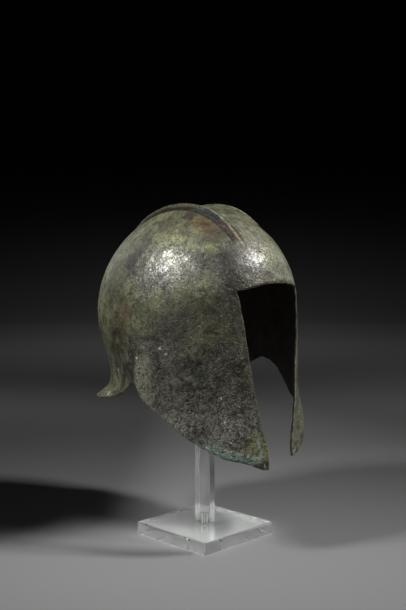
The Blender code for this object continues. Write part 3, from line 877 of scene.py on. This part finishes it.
screw = bmesh.new()
tip = screw_high.z
outline = [(0, SOCKET_DEPTH), (SOCKET_RADIUS, SOCKET_DEPTH), (SOCKET_RADIUS, 0)]
outline += [(HEAD_RADIUS * 0.97, 0), (HEAD_RADIUS, HEAD_EDGE), (CORE_RADIUS, HEAD_DEPTH)]
outline += [(CORE_RADIUS, tip - POINT_LENGTH), (CORE_RADIUS * 0.6, tip - TIP_CLEARANCE)]
outline += [(0, tip - TIP_CLEARANCE)]
spin_profile(screw, outline, 32)
turns = int((tip - HEAD_DEPTH - THREAD_SPARE) / PITCH)
thread = ((CORE_RADIUS * 0.9, 0), (SHANK_RADIUS, PITCH * 0.45), (CORE_RADIUS * 0.9, PITCH * 0.9))
thread_low = AXIS + Vector((0, 0, HEAD_DEPTH + THREAD_START))
ridge = [screw.verts.new(thread_low + Vector((radius, 0, z))) for radius, z in thread]
section = screw.faces.new(ridge)
bmesh.ops.spin(
    screw,
    geom=[section, *section.edges, *section.verts],
    cent=AXIS,
    axis=(0, 0, 1),
    dvec=(0, 0, PITCH / STEPS_IN_A_TURN),
    angle=math.tau * turns,
    steps=turns * STEPS_IN_A_TURN,
)
bmesh.ops.recalc_face_normals(screw, faces=screw.faces)
threaded = object_of("threaded_screw", screw)
threaded.data.set_sharp_from_angle(angle=math.radians(35))
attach(threaded, "root")
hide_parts("stand_screw")
print("screw turns:", turns, "box:", [round(side * 1000, 1) for side in threaded.dimensions])

# %% [markdown]
# Turned steel has fine rings round its axis, so its noise is stretched flat: long across the
# axis and short along it.

# %% Steel
steel = Patina("screw_steel")
turned = steel.vector_maths("MULTIPLY", steel.place, (0.1, 0.1, 3.0))
turning = steel.clouds(0.3, detail=2, at=turned)
steel.fill(
    steel.shader,
    {
        "Base Color": steel.blend(turning, (0.62, 0.61, 0.58), (0.80, 0.79, 0.76)),
        "Metallic": 1.0,
        "Roughness": steel.ease(turning, 0.3, 0.7, 0.20, 0.34),
    },
)
steel.wear(threaded)

# %% [markdown]
# ## Floor, camera and lights
#
# The floor is pale paper that runs up behind into a curve, so no line shows where it ends. It is
# spun all the way round, because the helmet is also looked at from its other sides. The backdrop
# fades from grey to black: falling light makes part of that, and painted light and shade on the
# paper the rest, darker near the stand, paler in a band behind it, and darker again farther back
# and up the wall. The camera stands where the photographer stood, at the height of the helmet.

# %% Floor
SWEEP = ((0.0, 0.0), (3.4, 0.0), (3.75, 0.06), (4.05, 0.25), (4.25, 0.6), (4.3, 1.0), (4.3, 3.2))
BELOW_THE_STAND = 0.0001
floor_bm = bmesh.new()
corners = [floor_bm.verts.new((radius, 0, z - BELOW_THE_STAND)) for radius, z in SWEEP]
edges = [floor_bm.edges.new(pair) for pair in zip(corners, corners[1:])]
bmesh.ops.spin(
    floor_bm, geom=corners + edges, axis=(0, 0, 1), angle=math.tau, steps=64, use_merge=True
)
bmesh.ops.remove_doubles(floor_bm, verts=floor_bm.verts, dist=1e-6)
bmesh.ops.recalc_face_normals(floor_bm, faces=floor_bm.faces)
floor = object_of("floor", floor_bm)

# %% Paper
PAPER_SPECKLE = ((0.196, 0.196, 0.196), (0.210, 0.210, 0.208))
# Painted light and shade on the floor: darker by the stand, a paler band behind, darker far back.
PAINTED_FLOOR_LIGHT = (
    (-200, 250, (0.150, 0.150, 0.149)),
    (400, 950, (0.290, 0.290, 0.288)),
    (1100, 2700, (0.120, 0.120, 0.120)),
)
PAINTED_WALL_SHADE = (0.008, 0.008, 0.008)
paper = Patina("pale_paper")
behind = (paper.axis("X") + paper.axis("Y")) * 0.7071
paper.colour = paper.blend(paper.clouds(1.4, detail=3, seed=2), *PAPER_SPECKLE)
for start, end, tone in PAINTED_FLOOR_LIGHT:
    paper.lay(paper.ease(behind, start, end), tone)
# Painted shade: the paper darkens to near black up the wall.
paper.lay(paper.ease(paper.axis("Z"), -150, 950), PAINTED_WALL_SHADE)
paper.fill(
    paper.shader,
    {"Base Color": paper.colour, "Roughness": 0.8, "Specular IOR Level": 0.2},
)
paper.wear(floor)

# %% Camera
CAMERA_PLACE = Vector((-0.6301, -0.6437, 0.2826))
CAMERA_AIM = Vector((-0.0075, -0.0211, 0.2403))
camera = bpy.data.objects.new("camera", bpy.data.cameras.new("camera"))
camera.data.lens = 50.16
camera.data.sensor_width = 36
camera.location = CAMERA_PLACE
camera.rotation_euler = (CAMERA_AIM - CAMERA_PLACE).to_track_quat("-Z", "Y").to_euler()
bpy.context.scene.collection.objects.link(camera)
bpy.context.scene.camera = camera

# %% [markdown]
# Two soft boxes make the two highlights on the dome, one on each side of the camera. Three weak
# ones stand for the light that a studio's walls give back, and a large one washes the paper behind.
# A row gives each light's bearing round the helmet from the face, its height above the horizon,
# both in degrees, its distance and its size in metres, its watts, its spread in degrees, and what
# it points at.

# %% Lights
HELMET = Vector((0, 0, 0.24))
BEFORE_THE_STAND = Vector((-0.05, -0.05, 0.20))
BACKDROP = Vector((1.85, 1.85, 0))
LIGHTS = (
    ("soft_box_left", -104, 40, 1.10, 0.20, 1.7, 60, HELMET),
    ("soft_box_right", 26, 45, 1.10, 0.16, 2.4, 70, BEFORE_THE_STAND),
    ("side_fill", 92, 12, 1.6, 0.7, 0.25, 90, HELMET),
    ("low_fill", -126, 4, 1.6, 0.6, 0.15, 90, HELMET),
    ("back_fill", 175, 20, 1.5, 0.6, 0.4, 90, HELMET),
    ("backdrop_wash", 135, 29, 2.9, 1.3, 3.0, 116, BACKDROP),
)


def from_bearing(bearing, rise, distance):
    """A place by its bearing, 0 in front of the face and 90 to the wearer's left."""
    turn, lift = math.radians(bearing), math.radians(rise)
    level = math.cos(lift)
    way = Vector((math.sin(turn) * level, -math.cos(turn) * level, math.sin(lift)))
    return HELMET + distance * way


for name, bearing, rise, distance, size, power, spread, aim in LIGHTS:
    lamp = bpy.data.lights.new(name, "AREA")
    lamp.shape = "SQUARE"
    lamp.size = size
    lamp.energy = power
    lamp.spread = math.radians(spread)
    soft_box = bpy.data.objects.new(name, lamp)
    soft_box.location = from_bearing(bearing, rise, distance)
    soft_box.rotation_euler = (aim - soft_box.location).to_track_quat("-Z", "Y").to_euler()
    soft_box.visible_camera = False
    bpy.context.scene.collection.objects.link(soft_box)
print("lights:", len(LIGHTS))

# %% [markdown]
# A black card lies level beside the stand, out of the picture. It keeps the left box off the floor
# there, so that the shadow which the right box throws stays deep, as it is in the photo.

# %% Black card
CARD_HEIGHT = 0.24
CARD_NEAR, CARD_FAR = -0.139, 0.787
CARD_LEFT, CARD_RIGHT = -0.63, -0.235
INTO_PICTURE = Vector((0.7071, 0.7071, 0))
ACROSS_PICTURE = Vector((0.7071, -0.7071, 0))
card_bm = bmesh.new()
card_corners = (
    (CARD_NEAR, CARD_LEFT),
    (CARD_NEAR, CARD_RIGHT),
    (CARD_FAR, CARD_RIGHT),
    (CARD_FAR, CARD_LEFT),
)
card_bm.faces.new([
    card_bm.verts.new(INTO_PICTURE * deep + ACROSS_PICTURE * wide + Vector((0, 0, CARD_HEIGHT)))
    for deep, wide in card_corners
])
card = object_of("black_card", card_bm)
card.visible_camera = False
card.visible_transmission = False
card_finish = Patina("black_card")
card_finish.fill(card_finish.shader, {"Base Color": (0.01, 0.01, 0.01, 1), "Roughness": 0.9})
card_finish.wear(card)

# %% [markdown]
# The room itself is nearly dark, and the view shows colours as they are, without a film's curve.

# %% World and view
ROOM_GREY = (0.035, 0.035, 0.035, 1)
world = bpy.data.worlds.new("studio")
world.use_nodes = True
world.node_tree.nodes["Background"].inputs["Color"].default_value = ROOM_GREY
bpy.context.scene.world = world
bpy.context.scene.view_settings.view_transform = "Standard"
